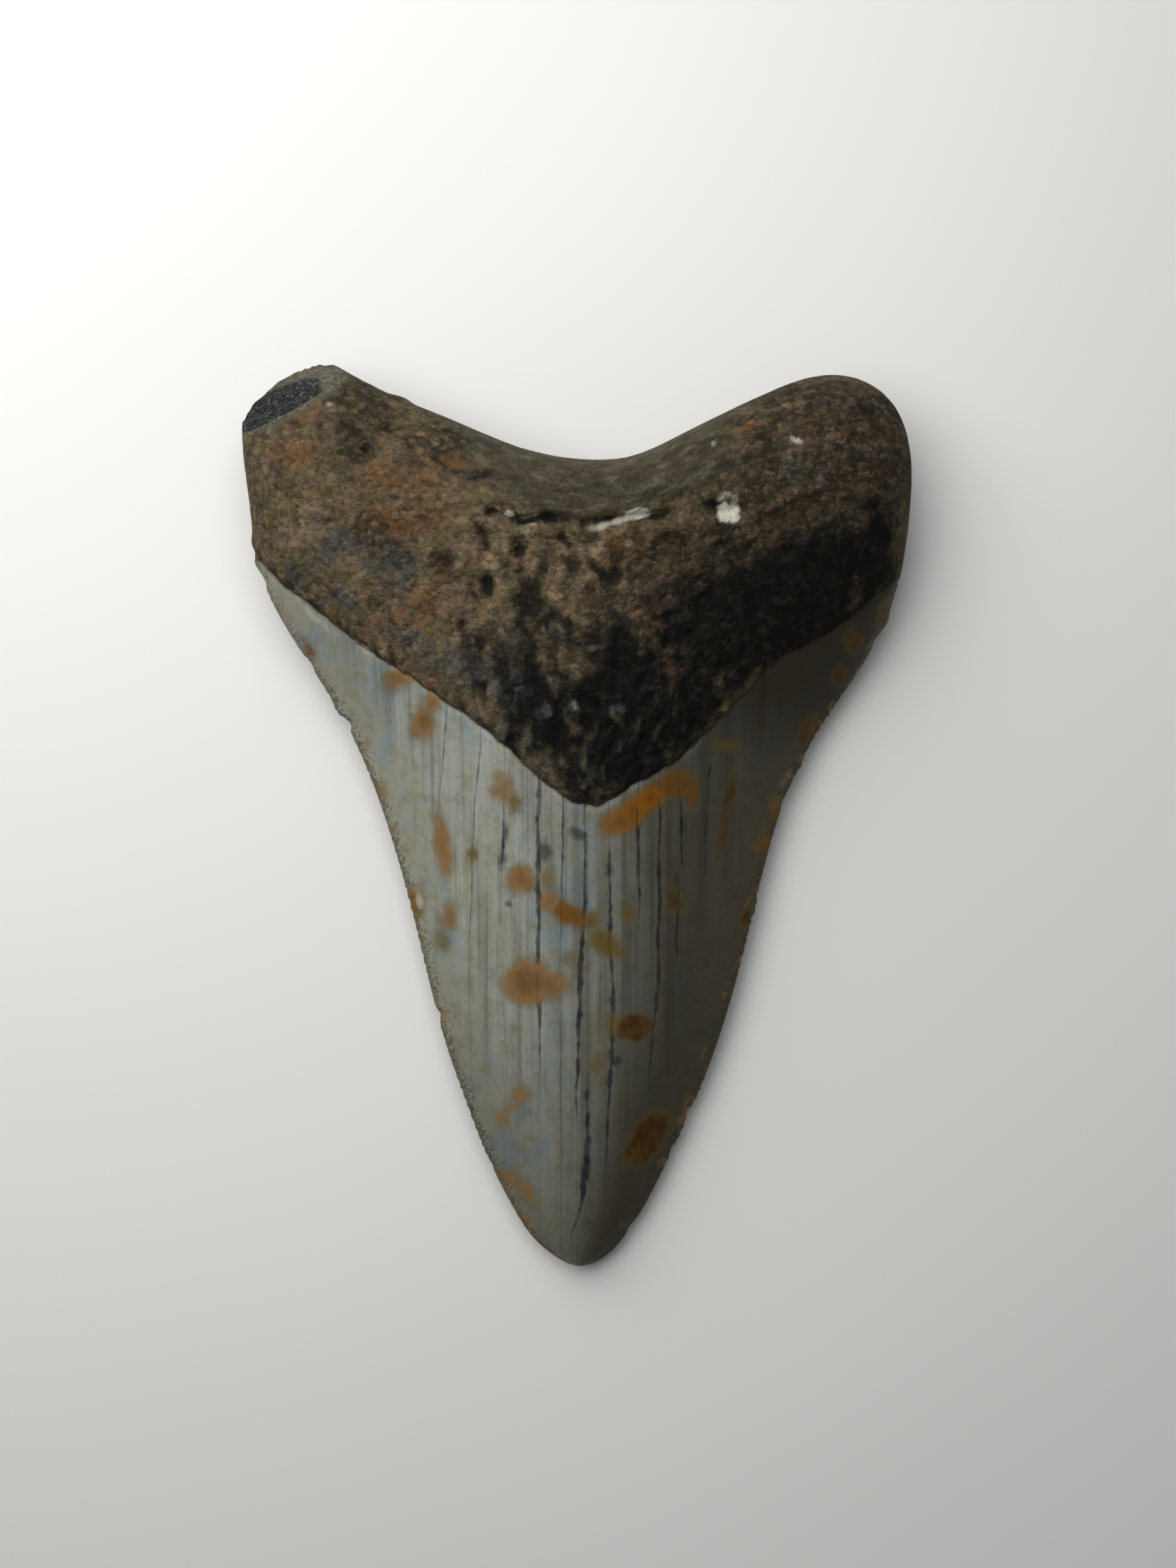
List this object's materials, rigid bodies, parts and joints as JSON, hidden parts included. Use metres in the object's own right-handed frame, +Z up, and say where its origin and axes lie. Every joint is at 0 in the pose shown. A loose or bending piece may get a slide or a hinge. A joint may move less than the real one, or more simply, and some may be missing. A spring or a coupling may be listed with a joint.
{
  "type": "fossil megalodon tooth",
  "caption": "Fossil megalodon tooth, a narrow V-based crown on a thick forked root with one lobe end broken off, lying on its flatter labial face.",
  "frame": {"origin": "on the surface that the tooth rests on, under the middle of its outline", "axes": "+X along the root from the broken lobe to the whole one, +Y from the tip to the root, +Z up through the bulging lingual face"},
  "size_m": [0.0854, 0.1166, 0.0216],
  "materials": {
    "fossil_tooth": "satin"
  },
  "bodies": {
    "root": {"tooth": "fossil_tooth"}
  },
  "joints": []
}
